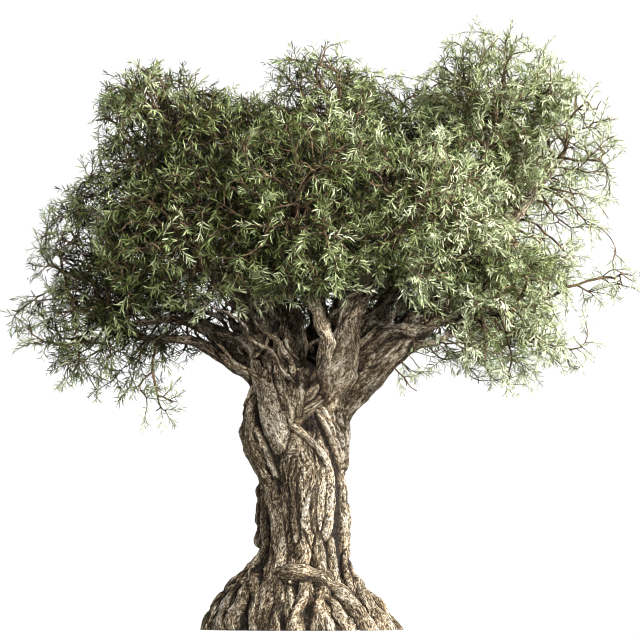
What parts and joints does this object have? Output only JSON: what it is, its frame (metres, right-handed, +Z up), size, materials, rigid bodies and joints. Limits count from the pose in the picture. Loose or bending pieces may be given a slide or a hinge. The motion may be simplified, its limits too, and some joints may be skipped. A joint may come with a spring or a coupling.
{
  "type": "olive tree",
  "caption": "Old olive tree with a braided trunk on flaring roots, spreading boughs and a broad crown in uneven masses, fixed at a flat cut at ground level.",
  "frame": {"origin": "middle of the flat cut under the trunk, at ground level", "axes": "+Z up along the trunk, +X to the right of the tree's face, and the face looks along -Y"},
  "size_m": [4.3813, 3.5542, 4.1949],
  "materials": {
    "bark": "rough",
    "leaf": "matte"
  },
  "bodies": {
    "root": {"bough_back_high": "bark", "bough_back_stem": "bark", "bough_crown_stem": "bark", "bough_front_stem": "bark", "bough_left_arm": "bark", "bough_left_back_stem": "bark", "bough_left_low_stem": "bark", "bough_left_rear": "bark", "bough_left_shelf": "bark", "bough_left_stem": "bark", "bough_right_arm": "bark", "bough_right_back_stem": "bark", "bough_right_high_arm": "bark", "bough_right_low_arm": "bark", "bough_right_low_stem": "bark", "bough_right_rear": "bark", "bough_right_stem": "bark", "crossing_root": "bark", "foliage_left_back": "leaf", "foliage_left_far": "leaf", "foliage_left_front": "leaf", "foliage_left_high": "leaf", "foliage_left_low": "leaf", "foliage_left_low_back": "leaf", "foliage_left_spray": "leaf", "foliage_middle_back": "leaf", "foliage_middle_front": "leaf", "foliage_middle_top": "leaf", "foliage_right_back": "leaf", "foliage_right_far": "leaf", "foliage_right_front": "leaf", "foliage_right_low": "leaf", "foliage_right_low_back": "leaf", "foliage_right_spray": "leaf", "foliage_right_tip": "leaf", "foliage_right_top": "leaf", "foliage_top_back": "leaf", "trunk": "bark"}
  },
  "joints": []
}
